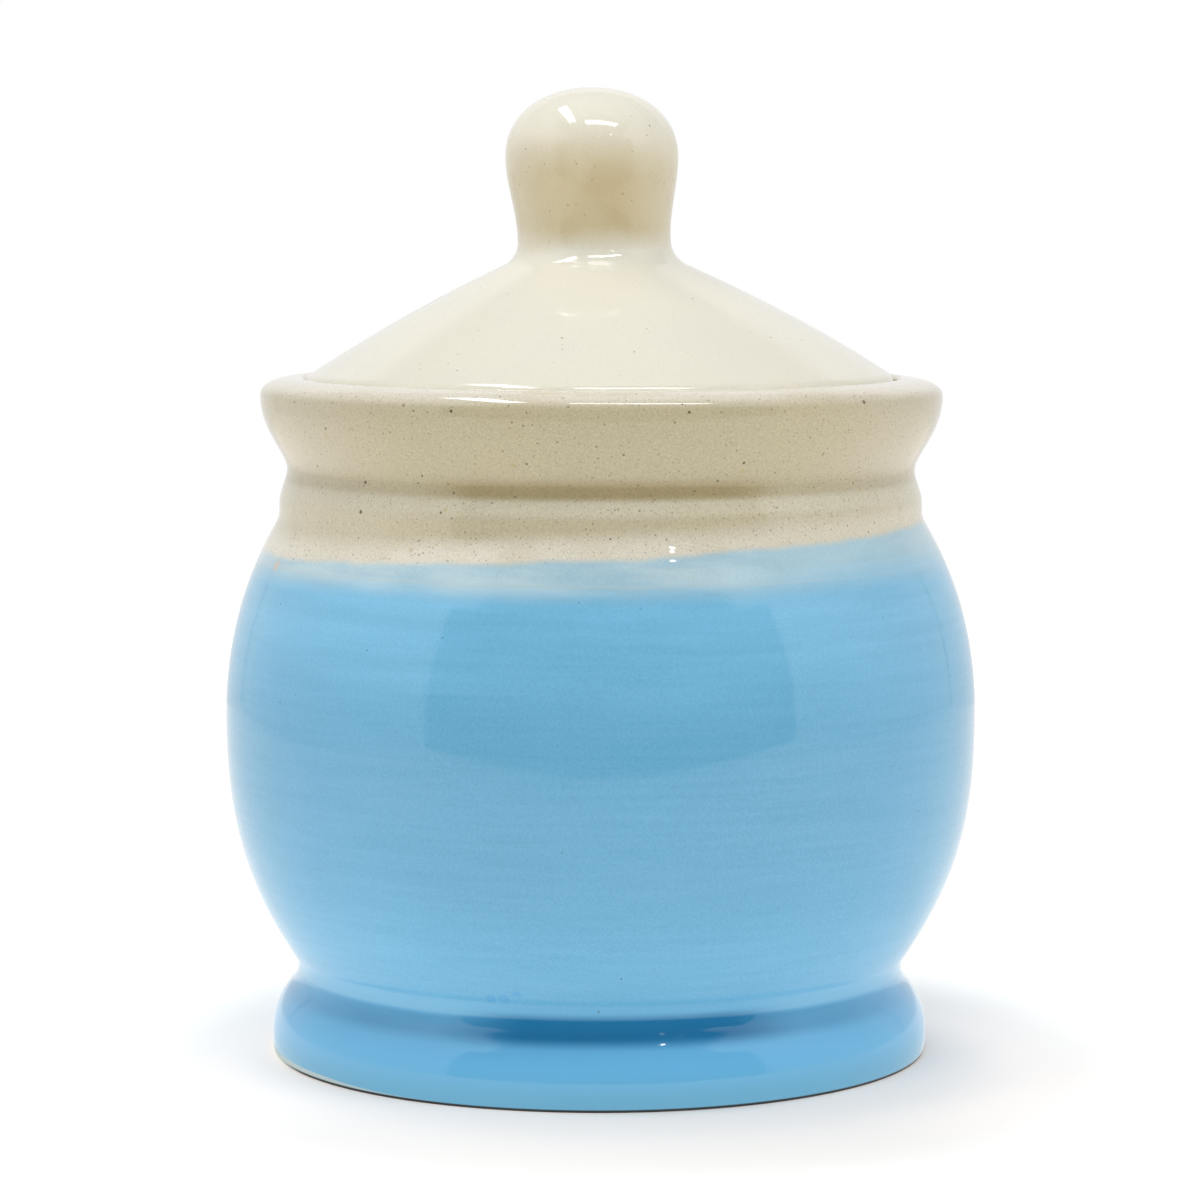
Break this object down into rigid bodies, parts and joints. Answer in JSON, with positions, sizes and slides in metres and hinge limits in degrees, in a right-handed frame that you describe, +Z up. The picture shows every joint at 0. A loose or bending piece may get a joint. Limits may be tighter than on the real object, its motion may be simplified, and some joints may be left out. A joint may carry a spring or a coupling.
{
  "type": "spice jar",
  "caption": "Round-bellied glazed stoneware spice jar with a flared collar and ring foot, closed by a domed lift-off lid with a bulb knob.",
  "frame": {"origin": "centre of the foot ring, on the surface that the jar stands on", "axes": "+Z up along the turning axis, through the knob; X and Y are alike because jar and lid are turned"},
  "size_m": [0.1, 0.1, 0.128],
  "materials": {
    "blue_glaze": "gloss",
    "cream_glaze": "gloss"
  },
  "bodies": {
    "jar": {"jar": "blue_glaze"},
    "lid": {"lid": "cream_glaze"}
  },
  "joints": [
    {"name": "lid_lift", "type": "slide", "parent": "jar", "child": "lid", "axis": [0, 0, 1], "range_m": [0, 0.06]}
  ]
}
